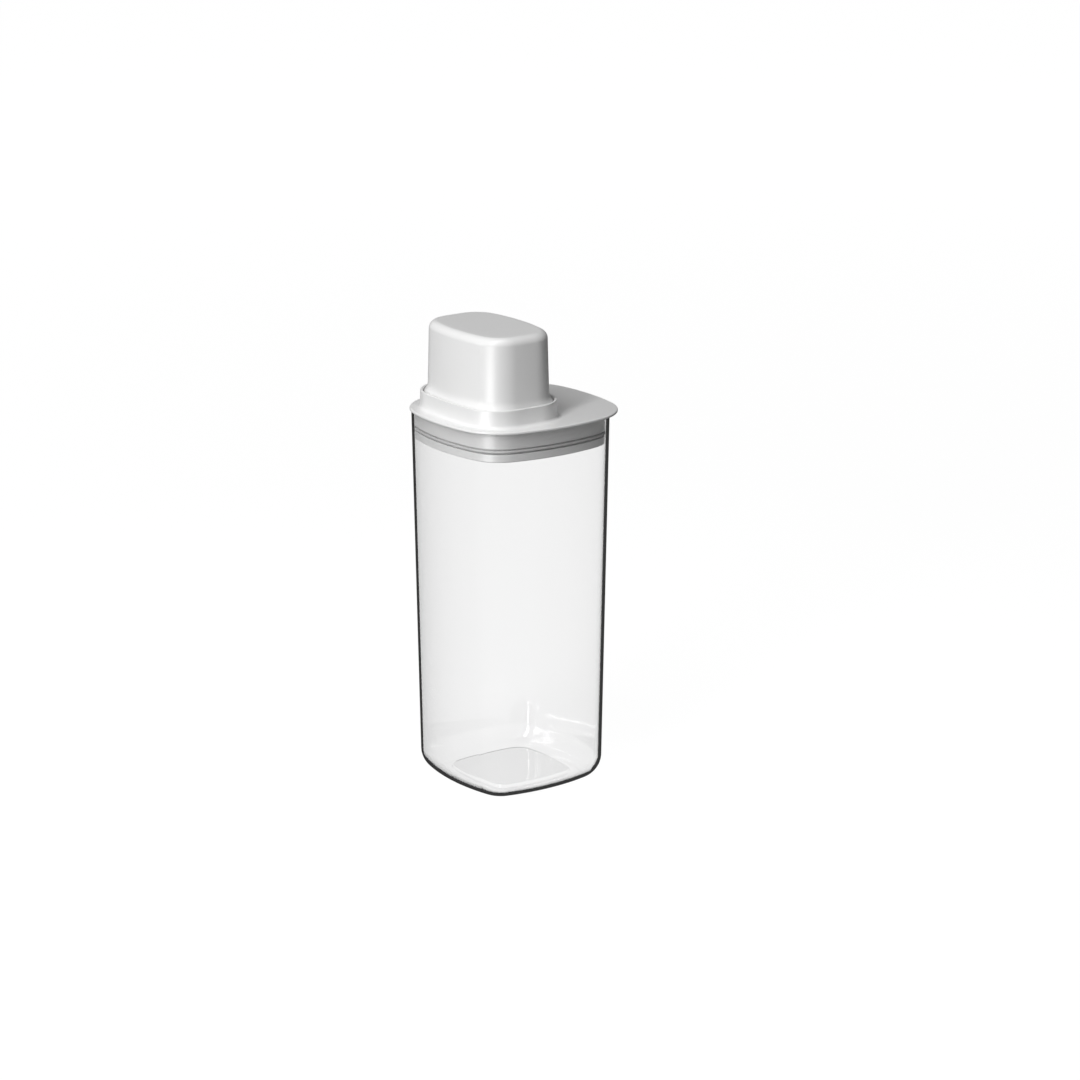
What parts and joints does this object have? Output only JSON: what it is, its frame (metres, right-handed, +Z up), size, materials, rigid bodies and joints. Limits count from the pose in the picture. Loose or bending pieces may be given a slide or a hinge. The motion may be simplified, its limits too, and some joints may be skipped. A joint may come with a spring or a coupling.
{
  "type": "airtight food storage container",
  "caption": "Tall clear jar of rounded square section with a plug lid, a collared pouring spout and an upturned measuring cup that caps the spout.",
  "frame": {"origin": "the middle of the outer box's footprint, on the level surface that the jar stands on; the jar's own upright axis is 2.45 mm in front of it, at y = -0.00245", "axes": "+Z up, out of the jar's mouth; +X to the right, along the measuring cup's long side; -Y is the front, where the spout is, and +Y the rear, where the lid's lifting lip is"},
  "size_m": [0.1092, 0.1142, 0.2836],
  "materials": {
    "clear_plastic": "clear, polished",
    "lid_plastic": "fine satin",
    "cup_plastic": "fine satin",
    "silicone": "soft, pale, slightly clouded silicone"
  },
  "bodies": {
    "jar": {"jar": "clear_plastic"},
    "lid": {"lid": "lid_plastic", "lid_gasket": "silicone", "cup_seal": "silicone"},
    "cup": {"measuring_cup": "cup_plastic"}
  },
  "joints": [
    {"name": "lid_lift", "type": "slide", "parent": "jar", "child": "lid", "axis": [0, 0, 1], "range_m": [0, 0.13]},
    {"name": "cup_lift", "type": "slide", "parent": "lid", "child": "cup", "axis": [0, 0, 1], "range_m": [0, 0.09]}
  ]
}
